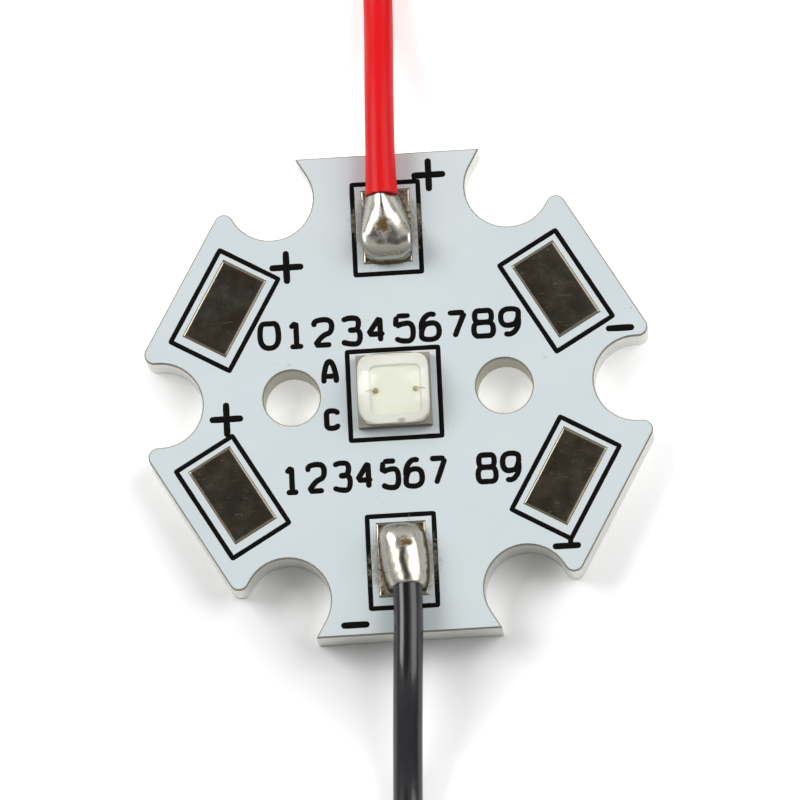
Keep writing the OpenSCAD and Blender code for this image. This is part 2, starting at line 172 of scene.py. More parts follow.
def coil_radius(angle):
    return (
        COIL_R + LEAD_D
        - LEAD_D * (ease(angle, 240) + ease(angle, 600))
        + LEAD_D / 2 * ease(angle, 960)
        + LEAD_D * ease(angle, 1260)
    )


def coil_heights():
    """The height of each point, resting on the turns that were laid before it."""
    heights = []
    for i in range(LAST_ANGLE // STEP_ANGLE + 1):
        z = floor_z + LEAD_D / 2
        for j in range(i - TURN // STEP_ANGLE, -1, -TURN // STEP_ANGLE):
            apart = coil_radius(i * STEP_ANGLE) - coil_radius(j * STEP_ANGLE)
            if abs(apart) < LEAD_D:
                z = max(z, heights[j] + math.sqrt(LEAD_D**2 - apart**2))
        heights.append(z)
    return heights


def coil_points(entry, side):
    centre = entry + Vector((side * (COIL_R + LEAD_D), ENTRY_L, 0))
    points = []
    for i, z in enumerate(coil_heights()):
        angle = math.radians(i * STEP_ANGLE)
        r = coil_radius(i * STEP_ANGLE)
        points.append(Vector((centre.x - side * r * math.cos(angle), centre.y + r * math.sin(angle), z)))
    return points


print("coil:", len(coil_heights()), "points,", LAST_ANGLE / TURN, "turns")


# %% [markdown]
# The bevel is one metre and the points' radius makes it thin, because Blender adds
# the radius to the curve's box. With the usual radius of 1, the box of a 1.2 mm
# lead would be two metres wide.

# %% Make a lead as one curve
def make_lead(name, points, turn, coil_side, end_flare):
    path = route(points)
    path += coil_points(path[-1], coil_side)
    curve = bpy.data.curves.new(name, "CURVE")
    curve.dimensions = "3D"
    curve.bevel_depth = 1
    curve.bevel_resolution = 6
    curve.use_fill_caps = True
    spline = curve.splines.new("NURBS")
    spline.points.add(len(path) - 1)
    spline.order_u = 4
    spline.use_endpoint_u = True
    spline.resolution_u = 4
    place = lead_frame(turn)
    for i, (point, co) in enumerate(zip(spline.points, path)):
        point.co = (*(place @ co), 1)
        point.radius = LEAD_D / 2 * (end_flare[i] if i < len(end_flare) else 1)
    lead = bpy.data.objects.new(name, curve)
    scene.collection.objects.link(lead)
    length = sum((b - a).length for a, b in zip(path, path[1:]))
    print(name, "is", round(length / MM, 1), "mm long")
    return lead, place @ path[0]


red_lead, red_exit = make_lead("red_insulation", red_points, 0, 1, [1.1, 1.05, 1.02])
black_lead, black_exit = make_lead("black_insulation", black_points, math.pi, -1, [1])

for lead, exit_point, side in ((red_lead, red_exit, "red"), (black_lead, black_exit, "black")):
    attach(lead, "root")
    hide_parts(side + "_lead", side + "_lead_coil")

# %% [markdown]
# Every surface below is a small network of nodes, and so is the light of the
# studio. One function adds a node with its settings and feeds its inputs, so a
# pattern takes a line or two. Colours are sRGB hex values, as a colour picker shows
# them, and one function turns them to the linear values of the renderer.

# %% Helpers for nodes
def linear(colour):
    """An sRGB hex colour as linear red, green, blue and alpha."""
    parts = [int(colour[i:i + 2], 16) / 255 for i in (0, 2, 4)]
    return (*[c / 12.92 if c <= 0.04045 else ((c + 0.055) / 1.055) ** 2.4 for c in parts], 1)


def feed(socket, value):
    """Gives a socket a number or a hex colour, or links a node's first shown output to it."""
    if isinstance(value, bpy.types.Node):
        value = next(output for output in value.outputs if output.enabled)
    if isinstance(value, bpy.types.NodeSocket):
        socket.id_data.links.new(value, socket)
    else:
        socket.default_value = linear(value) if isinstance(value, str) else value


def add(tree, kind, inputs=None, **settings):
    """Adds a node with its settings, and feeds its inputs."""
    node = tree.nodes.new(kind)
    for name, value in settings.items():
        setattr(node, name, value)
    for name, value in (inputs or {}).items():
        feed(node.inputs[name], value)
    return node


def give(node, **inputs):
    """Feeds inputs of a node. An input is named with _ for a space."""
    for name, value in inputs.items():
        feed(node.inputs[name.replace("_", " ")], value)


def seen_rays(tree):
    """1 for a ray that the camera sees, directly or through metal and glass."""
    path = add(tree, "ShaderNodeLightPath").outputs
    direct = {0: path["Is Camera Ray"], 1: path["Is Glossy Ray"]}
    either = add(tree, "ShaderNodeMath", direct, operation="ADD")
    through = {0: either, 1: path["Is Transmission Ray"]}
    return add(tree, "ShaderNodeMath", through, operation="ADD", use_clamp=True)


print("sRGB 808080 is", round(linear("808080")[0], 3), "in linear light")

# %% [markdown]
# Product pictures like this one are taken in a light tent: white cloth all round, a
# large soft lamp on either side, a little to the back, and a dark opening where the
# camera looks in. Matt surfaces don't notice it, but polished metal does. A flat
# pad mirrors the spot that lies as far behind the zenith as the camera lies before
# it, so the opening goes there, and the pads turn nearly black. It reaches a little
# further to the left, where the photographer stands. Metal and glass see the cloth
# at full white overhead, with the opening in it, and dimmer towards the table.
# Other surfaces get less light from it, so that the lamps can throw shadows. No
# lamp stands in front, so the cloth is dim there, and the floor before each wall of
# the board lies in shade.

# %% Light tent
CLOTH_LIGHT = 0.42
FRONT_LIGHT = 0.18
CLOTH_LOW_LOOK = 0.45
CLOTH_FRONT_LOOK = 0.6
OPENING_LOOK = 0.065
PHOTOGRAPHER = 0.12
to_camera = camera.location.normalized()
opening_direction = Vector((-to_camera.x - PHOTOGRAPHER, -to_camera.y, to_camera.z)).normalized()

world = bpy.data.worlds.new("light_tent")
scene.world = world
world.use_nodes = True
tree = world.node_tree
direction = add(tree, "ShaderNodeTexCoord").outputs["Generated"]
to_opening = add(
    tree, "ShaderNodeVectorMath",
    {0: direction, 1: opening_direction}, operation="DOT_PRODUCT",
)
opening = add(
    tree, "ShaderNodeMapRange",
    {"Value": to_opening, "From Min": 0.9, "From Max": 0.96, "To Min": 1, "To Max": OPENING_LOOK},
    interpolation_type="SMOOTHSTEP",
)
depth, height = add(tree, "ShaderNodeSeparateXYZ", {0: direction}).outputs[1:3]
walls = add(
    tree, "ShaderNodeMapRange",
    {"Value": height, "From Min": 0, "From Max": 0.7, "To Min": CLOTH_LOW_LOOK, "To Max": 1},
)
cloth = add(tree, "ShaderNodeMath", {0: opening, 1: walls}, operation="MULTIPLY")
strength = add(tree, "ShaderNodeMix", {0: seen_rays(tree), 2: CLOTH_LIGHT, 3: cloth}, data_type="FLOAT")
dim = add(
    tree, "ShaderNodeMix", {0: seen_rays(tree), 2: FRONT_LIGHT, 3: CLOTH_FRONT_LOOK}, data_type="FLOAT",
)
front = add(
    tree, "ShaderNodeMapRange",
    {"Value": depth, "From Min": -0.45, "From Max": 0.05, "To Min": dim, "To Max": 1},
    interpolation_type="SMOOTHSTEP",
)
shaded = add(tree, "ShaderNodeMath", {0: strength, 1: front}, operation="MULTIPLY")
in_view = add(tree, "ShaderNodeLightPath").outputs["Is Camera Ray"]
shown = add(tree, "ShaderNodeMath", {0: shaded, 1: in_view}, operation="MAXIMUM")
give(tree.nodes["Background"], Color="ffffff", Strength=shown)
print("light tent with", len(tree.nodes), "nodes")

# %% [markdown]
# The two lamps are area lights that face the board. A large lamp throws a soft
# shadow. The left one is smaller, so the shadows that fall to the right are firmer.

# %% Lamps
def make_lamp(name, place, size, watts):
    data = bpy.data.lights.new(name, "AREA")
    data.shape = "RECTANGLE"
    data.size, data.size_y = size
    data.energy = watts
    lamp = bpy.data.objects.new(name, data)
    scene.collection.objects.link(lamp)
    lamp.location = place
    lamp.rotation_euler = (-lamp.location).to_track_quat("-Z", "Y").to_euler()
    print(name, "lamp at", [round(v, 2) for v in place], "m,", watts, "W")


make_lamp("left", (-0.34, 0.17, 0.31), (0.28, 0.24), 1.45)
make_lamp("right", (0.35, 0.12, 0.32), (0.4, 0.36), 1.45)

# %% [markdown]
# Every material below is Blender's Principled shader with a few texture nodes. The
# textures read Object coordinates. All pieces sit at the origin in metres, so a
# texture's scale is one over the size of its grain: grain(0.5) is a pattern with
# bumps half a millimetre apart, on every piece alike. The two holes in the board
# lie mirrored about the middle, so the absolute coordinates need one place for
# both.

# %% Helpers for materials
HOLE_AT, HOLE_R = 4.325 * MM, 1.15 * MM


def grain(size):
    """The texture scale of a pattern whose features are size millimetres apart."""
    return 1 / (size * MM)


def new_material(name, colour, roughness, **constants):
    """A Principled material. A constant is named for its socket, with _ for a space."""
    material = bpy.data.materials.new(name)
    material.use_nodes = True
    tree = material.node_tree
    shader = tree.nodes["Principled BSDF"]
    give(shader, Base_Color=colour, Roughness=roughness, **constants)
    return material, tree, shader, add(tree, "ShaderNodeTexCoord").outputs["Object"]


def stretched_distance(tree, coords, place, stretch):
    """The distance from a place, with each axis stretched first. A stretch of 0 ignores an axis."""
    apart = add(tree, "ShaderNodeVectorMath", {0: coords, 1: place}, operation="SUBTRACT")
    stretched = add(tree, "ShaderNodeVectorMath", {0: apart, 1: stretch}, operation="MULTIPLY")
    return add(tree, "ShaderNodeVectorMath", {0: stretched}, operation="LENGTH")


def from_holes(tree, coords):
    """The distance from the axis of the nearer of the board's two holes."""
    mirrored = add(tree, "ShaderNodeVectorMath", {0: coords}, operation="ABSOLUTE")
    return stretched_distance(tree, mirrored, (HOLE_AT, 0, 0), (1, 1, 0))


def make_object(name, bm, material):
    """Turns a bmesh into an object with a material."""
    mesh = bpy.data.meshes.new(name)
    bm.to_mesh(mesh)
    bm.free()
    mesh.materials.append(material)
    made = bpy.data.objects.new(name, mesh)
    scene.collection.objects.link(made)
    return made


def dress(material, *nodes):
    """Gives CAD nodes a material."""
    for name in nodes:
        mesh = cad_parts[name].data
        mesh.materials.clear()
        mesh.materials.append(material)
    print(material.name, "on", ", ".join(nodes))


print("a grain of half a millimetre has the scale", round(grain(0.5)))

# %% [markdown]
# The floor is white card. Its own white isn't quite enough to be paper white in the
# picture, so it glows, but only towards the camera, metal and glass. The glow
# starts at the side notches and fills the open floor, sooner at the back, because a
# glow before the front walls would wash out their shadows. Under the board's two
# holes the glow is stronger: a painted pool of light.

# %% Floor
FLOOR_W = 3
FLOOR_SINK = 0.02 * MM
GLOW_MIDDLE = (-0.6 * MM, -3.3 * MM, 0)
card, tree, shader, coords = new_material("white_card", "f4f4f4", 0.9, Emission_Color="ffffff")
from_middle = add(tree, "ShaderNodeVectorMath", {0: coords, 1: GLOW_MIDDLE}, operation="DISTANCE")
open_floor = add(
    tree, "ShaderNodeMapRange",
    {"Value": from_middle, "From Min": 7.6 * MM, "From Max": 12 * MM, "To Min": 0, "To Max": 0.4},
)
# Painted light: a stronger glow on the card under each of the board's holes.
hole_light_pool = add(tree, "ShaderNodeMapRange", {
    "Value": from_holes(tree, coords), "From Min": HOLE_R, "From Max": HOLE_R + 0.3 * MM,
    "To Min": 0.38, "To Max": 0,
})
white = add(tree, "ShaderNodeMath", {0: open_floor, 1: hole_light_pool}, operation="MAXIMUM")
glow = add(tree, "ShaderNodeMath", {0: seen_rays(tree), 1: white}, operation="MULTIPLY")
give(shader, Emission_Strength=glow)

bm = bmesh.new()
bmesh.ops.create_grid(bm, x_segments=1, y_segments=1, size=FLOOR_W / 2)
bmesh.ops.translate(bm, verts=bm.verts, vec=(0, 0, floor_z - FLOOR_SINK))
floor = make_object("floor", bm, card)
floor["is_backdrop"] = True
print("floor is", FLOOR_W, "m wide, at", round((floor_z - FLOOR_SINK) / MM, 2), "mm")

# %% [markdown]
# The base is aluminium sheet, 1.5 mm thick, punched or routed to a star. The router
# leaves fine lines round the edge, parallel to the faces. Noise that is stretched
# flat makes them: its scale is high along Z and low along X and Y. The walls of the
# two drilled holes are painted darker, as painted shade deep in the holes. The
# material finds them by their distance from the holes' axes.

# %% Bare aluminium
# Milled aluminium: light grey metal, satin, with streaks along the cut.
aluminium, tree, shader, coords = new_material("milled_aluminium", "dededa", 0.5, Metallic=1)
flat = add(tree, "ShaderNodeMapping", {"Vector": coords, "Scale": (grain(2.5), grain(2.5), grain(0.09))})
lines = add(tree, "ShaderNodeTexNoise", {"Vector": flat, "Scale": 1, "Detail": 3, "Roughness": 0.6})
tone = add(tree, "ShaderNodeMix", {0: lines, 6: "c9c9c5", 7: "efefec"}, data_type="RGBA")
# Painted shade: the walls of the holes are darkened, as the shade deep in them.
hole_wall_shade = add(
    tree, "ShaderNodeMapRange",
    {"Value": from_holes(tree, coords), "From Min": HOLE_R + 0.2 * MM, "From Max": HOLE_R + 0.1 * MM},
)
shaded_in_holes = add(
    tree, "ShaderNodeMix", {0: hole_wall_shade, 6: tone, 7: "d5d3c8"},
    data_type="RGBA", blend_type="MULTIPLY",
)
give(shader, Base_Color=shaded_in_holes)
bump = add(tree, "ShaderNodeBump", {"Height": lines, "Strength": 0.35, "Distance": 0.02 * MM})
give(shader, Normal=bump)
dress(aluminium, "base_plate")

# %% [markdown]
# Copper straight on aluminium would be a short circuit. A thin layer of epoxy parts
# them, filled with ceramic powder that carries the heat. Only its edge shows, as a
# dull olive line, so fine noise between two tones is enough.

# %% Dielectric
# Epoxy filled with ceramic powder: a dull olive line between aluminium and mask.
dielectric, tree, shader, coords = new_material("filled_epoxy", "958e7c", 0.65, IOR=1.55)
powder = add(tree, "ShaderNodeTexNoise", {"Vector": coords, "Scale": grain(0.06), "Detail": 2})
tone = add(tree, "ShaderNodeMix", {0: powder, 6: "7c7564", 7: "aea792"}, data_type="RGBA")
give(shader, Base_Color=tone)
dress(dielectric, "dielectric_layer")

# %% [markdown]
# The board is soiled round its two joints. Flux boils off while the iron is on the
# pad and leaves a brownish, fibrous film that creeps over the mask and over the
# printed frame. The same stain has to appear on the mask, the tin and the ink, so
# one helper adds it to each of them: a soft spot whose edge is frayed by noise.

# %% Flux stains
def joint_place(points, turn, sideways, inwards):
    """A place near a joint, sideways and inwards from its lead's end, in metres."""
    x, y, _ = points[0]
    return lead_frame(turn) @ Vector(((x + sideways) * MM, (y - inwards) * MM, mask_top))


red_middle = joint_place(red_points, 0, sideways=0.1, inwards=1.1)
black_middle = joint_place(black_points, math.pi, sideways=0.1, inwards=1.1)


def flux_amount(tree, coords):
    """1 in the stain round either joint and 0 away from them, with a fibrous edge."""
    fibres = add(
        tree, "ShaderNodeTexNoise",
        {"Vector": coords, "Scale": grain(0.55), "Detail": 6, "Roughness": 0.7, "Distortion": 1.5},
    )
    nearest = 0
    for middle in (red_middle, black_middle):
        near = add(tree, "ShaderNodeMapRange", {
            "Value": stretched_distance(tree, coords, middle, (0.98, 0.85, 0.3)),
            "From Min": 0.9 * MM, "From Max": 1.9 * MM, "To Min": 0.62, "To Max": 0,
        })
        nearest = add(tree, "ShaderNodeMath", {0: nearest, 1: near}, operation="MAXIMUM")
    total = add(tree, "ShaderNodeMath", {0: nearest, 1: fibres}, operation="ADD")
    return add(
        tree, "ShaderNodeMapRange", {"Value": total, "From Min": 0.72, "From Max": 1.05},
        interpolation_type="SMOOTHSTEP",
    )


print("stains at", *([round(v / MM, 1) for v in middle[:2]] for middle in (red_middle, black_middle)), "mm")

# %% [markdown]
# Solder mask is a lacquer of about 25 microns that is printed over the whole board
# and hardened. It looks like thin white enamel: a cool white, half gloss, with a
# faint orange-peel waviness. One noise shades the white, one scatters specks, and
# the stain goes over both. A bump is enough for the waviness.

# %% White solder mask
# Screen-printed lacquer, cured: cool white, half gloss, faintly wavy.
mask, tree, shader, coords = new_material("white_mask_lacquer", "d6dfe2", 0.34, IOR=1.5)
clouds = add(tree, "ShaderNodeTexNoise", {"Vector": coords, "Scale": grain(3), "Detail": 3})
white = add(tree, "ShaderNodeMix", {0: clouds, 6: "d0dadd", 7: "dce4e6"}, data_type="RGBA")
specks = add(tree, "ShaderNodeTexNoise", {"Vector": coords, "Scale": grain(0.3), "Detail": 2})
speck_amount = add(
    tree, "ShaderNodeMapRange",
    {"Value": specks, "From Min": 0.74, "From Max": 0.8, "To Max": 0.5},
)
specked = add(tree, "ShaderNodeMix", {0: speck_amount, 6: white, 7: "a9aeab"}, data_type="RGBA")
flux = flux_amount(tree, coords)
soft_flux = add(tree, "ShaderNodeMath", {0: flux, 1: 0.7}, operation="MULTIPLY")
stained = add(tree, "ShaderNodeMix", {0: soft_flux, 6: specked, 7: "8f8a7c"}, data_type="RGBA")
give(shader, Base_Color=stained)
peel = add(tree, "ShaderNodeTexNoise", {"Vector": coords, "Scale": grain(0.45), "Detail": 1})
bump = add(tree, "ShaderNodeBump", {"Height": peel, "Strength": 0.2, "Distance": 0.01 * MM})
give(shader, Normal=bump)
dress(mask, "solder_mask")

# %% [markdown]
# The copper is rolled foil, pressed onto the epoxy and etched to its outline. Mask
# and tin cover it, so a plain metal does, with streaks from the rolling mill.

# %% Copper
# Rolled copper foil: hardly seen, since mask and tin cover it.
copper, tree, shader, coords = new_material("copper_foil", "c98257", 0.4, Metallic=1)
rolled = add(tree, "ShaderNodeMapping", {"Vector": coords, "Scale": (grain(1), grain(0.1), grain(1))})
streaks = add(tree, "ShaderNodeTexNoise", {"Vector": rolled, "Scale": 1, "Detail": 2})
tone = add(tree, "ShaderNodeMix", {0: streaks, 6: "a86a45", 7: "d99669"}, data_type="RGBA")
give(shader, Base_Color=tone)
dress(copper, "copper_anode", "copper_cathode", "copper_heat_spreader")

# %% [markdown]
# The solder pads are dipped in molten tin, which hot air blows level. It is a dull
# mirror, cloudy where it froze slowly and scuffed by years of handling. So noises
# of several sizes change its tone and its roughness. Under the flux it is brown or
# chalky, rough, and hardly looks like metal any more.

# %% Levelled tin
# Hot-air levelled tin: dull dark metal that mirrors the opening of the tent.
tin, tree, shader, coords = new_material("levelled_tin", "8d877b", 0.22, Metallic=1)
patches = add(
    tree, "ShaderNodeTexNoise",
    {"Vector": coords, "Scale": grain(1.6), "Detail": 4, "Roughness": 0.6},
)
tint = add(tree, "ShaderNodeMapRange", {"Value": patches, "From Min": 0.35, "From Max": 0.65})
tone = add(tree, "ShaderNodeMix", {0: tint, 6: "7b796c", 7: "857766"}, data_type="RGBA")
clouds = add(
    tree, "ShaderNodeTexNoise",
    {"Vector": coords, "Scale": grain(0.7), "Detail": 5, "Roughness": 0.6},
)
brushed = add(tree, "ShaderNodeMapping", {"Vector": coords, "Scale": (grain(0.5), grain(0.12), grain(0.5))})
scuffs = add(
    tree, "ShaderNodeTexNoise",
    {"Vector": brushed, "Scale": 1, "Detail": 4, "Roughness": 0.65, "Distortion": 0.6},
)
flakes = add(
    tree, "ShaderNodeTexNoise",
    {"Vector": coords, "Scale": grain(0.22), "Detail": 4, "Roughness": 0.7, "Distortion": 1},
)
flaky = add(tree, "ShaderNodeMapRange", {"Value": flakes, "From Min": 0.4, "From Max": 0.62})
residue = add(tree, "ShaderNodeMix", {0: flaky, 6: "463c30", 7: "aca18c"}, data_type="RGBA")
flux = flux_amount(tree, coords)
fluxed = add(tree, "ShaderNodeMix", {0: flux, 6: tone, 7: residue}, data_type="RGBA")
give(shader, Base_Color=fluxed)
cloudy = add(
    tree, "ShaderNodeMapRange",
    {"Value": clouds, "From Min": 0.35, "From Max": 0.7, "To Min": 0.2, "To Max": 0.27},
)
scuffed = add(
    tree, "ShaderNodeMapRange",
    {"Value": scuffs, "From Min": 0.6, "From Max": 0.72, "To Min": 0, "To Max": 0.14},
)
dull = add(tree, "ShaderNodeMath", {0: cloudy, 1: scuffed}, operation="ADD")
crusted = add(tree, "ShaderNodeMath", {0: flux, 1: 0.4}, operation="MULTIPLY")
rough = add(tree, "ShaderNodeMath", {0: dull, 1: crusted}, operation="ADD")
give(shader, Roughness=rough)
bare = add(tree, "ShaderNodeMapRange", {"Value": flux, "To Min": 1, "To Max": 0.35})
give(shader, Metallic=bare)
bump = add(tree, "ShaderNodeBump", {"Height": clouds, "Strength": 0.5, "Distance": 0.01 * MM})
give(shader, Normal=bump)
print(tin.name, "has", len(tree.nodes), "nodes")

# %% [markdown]
# The tin stands on its pad as a shallow cushion: nearly flat in the middle, with
# soft shoulders and a steep rim that catches a lamp as one thin bright line. Each
# pad is a fine grid whose points are lifted by that profile. It stands for the
# packed pad, whose shoulders are flat facets, and keeps its place and height.

# %% Tinned pads
PAD_W, SIDE_PAD_L, END_PAD_L = 2 * MM, 3.6 * MM, 3.1 * MM
SIDE_PAD_AT = across_flats / 2 - 2.2 * MM
END_PAD_AT = across_flats / 2 - 3.05 * MM
SHOULDER, RIM = 0.3 * MM, 0.08 * MM
SHOULDER_SHARE, RIM_SHARE = 0.15, 0.85
RIPPLE, RIPPLE_W = 0.12, 1.1 * MM
PAD_SINK, PAD_ROOM = 0.03 * MM, 0.004 * MM


def finish_piece(name, bm, material, replaced):
    """Turns a bmesh into a smooth piece that rides on the object and stands for a CAD node."""
    for face in bm.faces:
        face.smooth = True
    piece = make_object(name, bm, material)
    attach(piece, "root")
    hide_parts(replaced)
    print(name, "has", len(piece.data.polygons), "faces")


def drop_walls(bm, z):
    """Extrudes the border of a grid down to the height z, and returns the border."""
    border = [e for e in bm.edges if e.is_boundary]
    for v in bmesh.ops.extrude_edge_only(bm, edges=border)["geom"]:
        if isinstance(v, bmesh.types.BMVert):
            v.co.z = z
    return border


def make_pad(node, angle, distance, size):
    bm = bmesh.new()
    bmesh.ops.create_grid(bm, x_segments=48, y_segments=64, size=0.5)
    bmesh.ops.scale(bm, verts=bm.verts, vec=(*size, 1))
    crown = node_top(node) - mask_top
    for v in bm.verts:
        # The closest edge of the pad decides how far down the shoulder and the rim a point is.
        inside = min(size[0] / 2 - abs(v.co.x), size[1] / 2 - abs(v.co.y))
        shoulder, rim = (min(max(1 - inside / reach, 0), 1) for reach in (SHOULDER, RIM))
        ripple = noise.noise((v.co + Vector((angle, 0, 0)) * MM) / RIPPLE_W)
        # The shoulder takes a small share of the height and the rim takes the rest.
        cushion = (1 - SHOULDER_SHARE * shoulder**2 - RIM_SHARE * rim) * (1 + RIPPLE * ripple)
        v.co.z = mask_top + crown * cushion - PAD_ROOM
    drop_walls(bm, mask_top - PAD_SINK)
    turn = math.radians(angle)
    bmesh.ops.rotate(bm, verts=bm.verts, cent=(0, 0, 0), matrix=Matrix.Rotation(turn, 3, "Z"))
    direction = Vector((math.cos(turn), math.sin(turn), 0))
    bmesh.ops.translate(bm, verts=bm.verts, vec=direction * distance + Vector((circuit_x, 0, 0)))
    bmesh.ops.recalc_face_normals(bm, faces=bm.faces)
    finish_piece(node + "_levelled", bm, tin, node)


for node, angle in (
    ("tin_pad_upper_right", 30), ("tin_pad_upper_left", 150),
    ("tin_pad_lower_left", 210), ("tin_pad_lower_right", 330),
):
    make_pad(node, angle, SIDE_PAD_AT, (PAD_W, SIDE_PAD_L))
for node, angle in (("tin_pad_top", 90), ("tin_pad_bottom", 270)):
    make_pad(node, angle, END_PAD_AT, (END_PAD_L, PAD_W))

# %% [markdown]
# The black print is epoxy ink, pressed through a screen. Its lines are a fifth of a
# millimetre wide, with round ends, soft corners and slightly unsteady edges. A
# curve with a round bevel draws such a line well: its points' radii give the width,
# and they can shrink to a round end and waver a little along the way.

# %% Helpers for printed lines
INK_STEP = 0.12
WAVER, WAVER_L = 0.07, 0.5
ink_curve = bpy.data.curves.new("ink", "CURVE")
ink_curve.dimensions = "3D"
ink_curve.bevel_depth = MM / 2
ink_curve.bevel_resolution = 2


def soften(points, times):
    """Cuts every inner corner twice as often as times says, which turns it into an arc."""
    for _ in range(times):
        cut = [points[0]]
        for a, b in zip(points, points[1:]):
            cut += [a.lerp(b, 0.25), a.lerp(b, 0.75)]
        points = cut + [points[-1]]
    return points


def spaced(points):
    """Points along the same line, about INK_STEP apart."""
    even = [points[0]]
    for a, b in zip(points, points[1:]):
        pieces = max(1, round((b - a).length / INK_STEP))
        even += [a.lerp(b, i / pieces) for i in range(1, pieces + 1)]
    return even


def blunted(points, width):
    """The same line with extra points near both ends, where a round end needs them."""
    for _ in range(2):
        start = points[0]
        onwards = (points[1] - start).normalized() * width / 2
        tip = [start + onwards * (1 - math.cos(math.radians(a))) for a in (10, 30, 50, 70)]
        points = (tip + [p for p in points if (p - start).length > width / 2])[::-1]
    return points


def ink_line(points, width, times=0):
    """One printed line through points in millimetres. It is closed if the last is the first."""
    closed = tuple(points[0]) == tuple(points[-1])
    points = spaced(soften([Vector(p) for p in points], times))
    points = points[:-1] if closed else blunted(points, width)
    lengths = [0]
    for a, b in zip(points, points[1:]):
        lengths.append(lengths[-1] + (b - a).length)
    spline = ink_curve.splines.new("POLY")
    spline.points.add(len(points) - 1)
    spline.use_cyclic_u = closed
    for point, co, along in zip(spline.points, points, lengths):
        to_end = min(along, lengths[-1] - along)
        end = 1 if closed else math.sqrt(max(0.02, 1 - max(0, 1 - 2 * to_end / width) ** 2))
        waver = 1 + WAVER * noise.noise(Vector((co.x, co.y, 0)) / WAVER_L)
        point.co = (co.x * MM, co.y * MM, 0, 1)
        point.radius = width * end * waver


# %% [markdown]
# Each pad has a frame a quarter of a millimetre outside it, and so has the LED. The
# screen lay a little off when the board was printed, so all the frames are shifted
# down against what they surround.

# %% Frames round the pads and the LED
FRAME_GAP = 0.25
FRAME_W = 0.2
FRAME_CORNER = 0.01
PRINT_Y = -0.08
print_x = circuit_x / MM


def ink_frame(size, place, angle):
    half = [v / 2 + FRAME_GAP + FRAME_W / 2 for v in size]
    c = FRAME_CORNER
    turn = Matrix.Rotation(math.radians(angle), 2)
    corners = []
    for sx, sy in ((1, 1), (-1, 1), (-1, -1), (1, -1)):
        a = Vector((sx * half[0], sy * (half[1] - c)))
        b = Vector((sx * (half[0] - c), sy * half[1]))
        corners += [a, b] if sx * sy > 0 else [b, a]
    corners.append(corners[0])
    ink_line([turn @ v + Vector(place) for v in corners], FRAME_W)


for angle in (30, 150, 210, 330):
    outwards = Matrix.Rotation(math.radians(angle), 2) @ Vector((SIDE_PAD_AT / MM, 0))
    ink_frame((PAD_W / MM, SIDE_PAD_L / MM), (print_x + outwards.x, PRINT_Y + outwards.y), angle)
for side in (1, -1):
    ink_frame((PAD_W / MM, END_PAD_L / MM), (print_x, PRINT_Y + side * END_PAD_AT / MM), 0)
led_w = (led_high[0] - led_low[0]) / MM
ink_frame((led_w, led_w), (print_x, PRINT_Y), 0)
print("frames:", len(ink_curve.splines))

# %% [markdown]
# The signs tell which pads are positive and which negative. A and C stand for anode
# and cathode, beside the LED. The two rows above and below the LED are plain
# counting digits, drawn with the same round pen. Each character is a few lines in a
# box one unit wide and high. Lines with several corners are softened.

# %% Signs, letters and digits
SIGN_W = 0.27
PLUS_R, MINUS_R = 0.7, 0.58
LETTER_W = 0.23
CHARACTERS = {
    "0": [[(0.5, 1), (1.05, 1), (1.05, 0), (-0.05, 0), (-0.05, 1), (0.5, 1)]],
    "1": [[(0.15, 0.76), (0.52, 1)], [(0.52, 1), (0.52, 0)], [(0.12, 0), (0.92, 0)]],
    "2": [[(0, 0.75), (0, 1.02), (1.05, 1.05), (1.05, 0.5), (0.5, 0.4), (0, 0)], [(0, 0), (1, 0)]],
    "3": [[(0.05, 0.95), (0.5, 1.05), (1.1, 1), (1, 0.52), (0.4, 0.54)],
          [(0.4, 0.54), (1.15, 0.56), (1.1, -0.04), (0.5, -0.03), (0, 0.08)]],
    "4": [[(0.74, 0), (0.74, 1)], [(0.74, 1), (0, 0.32)], [(0, 0.32), (1, 0.32)]],
    "5": [[(0.95, 1), (0.12, 1)], [(0.12, 1), (0.06, 0.56)],
          [(0.06, 0.56), (0.4, 0.68), (1.1, 0.7), (1.1, -0.04), (0.4, -0.04), (0, 0.1)]],
    "6": [[(0.9, 0.98), (0.4, 1.02), (0, 0.7), (0, 0.3)],
          [(0, 0.3), (-0.02, -0.03), (1.05, -0.03), (1.05, 0.64), (0.2, 0.64), (0, 0.3)]],
    "7": [[(0, 1), (1, 1)], [(1, 1), (0.35, 0)]],
    "8": [[(0.5, 0.54), (0, 0.56), (0, 1.02), (0.5, 1.02), (1, 1.02), (1, 0.56), (0.5, 0.54)],
          [(0.5, 0.54), (-0.08, 0.52), (-0.08, -0.02), (0.5, -0.02), (1.08, -0.02), (1.08, 0.52),
           (0.5, 0.54)]],
    "9": [[(1, 0.7), (1.02, 1.03), (-0.05, 1.03), (-0.05, 0.36), (0.8, 0.36), (1, 0.7)],
          [(1, 0.7), (1, 0.3), (0.6, -0.02), (0.1, 0.02)]],
    "A": [[(0, 0), (0.02, 0.45), (0.3, 1.05), (0.7, 1.05), (0.98, 0.45), (1, 0)],
          [(0.1, 0.34), (0.9, 0.34)]],
    "C": [[(1, 0.78), (0.85, 1.04), (0, 1.06), (0, 0.5), (0, -0.06), (0.85, -0.04), (1, 0.22)]],
}


def ink_character(character, x, y, width, height, pen=LETTER_W):
    for line in CHARACTERS[character]:
        points = [(x + px * width, y + py * height) for px, py in line]
        ink_line(points, pen, times=3 if len(points) > 2 else 0)


def ink_row(text, x, y, pitch, width, height):
    for i, character in enumerate(text):
        if character != " ":
            ink_character(character, x + i * pitch, y, width, height)


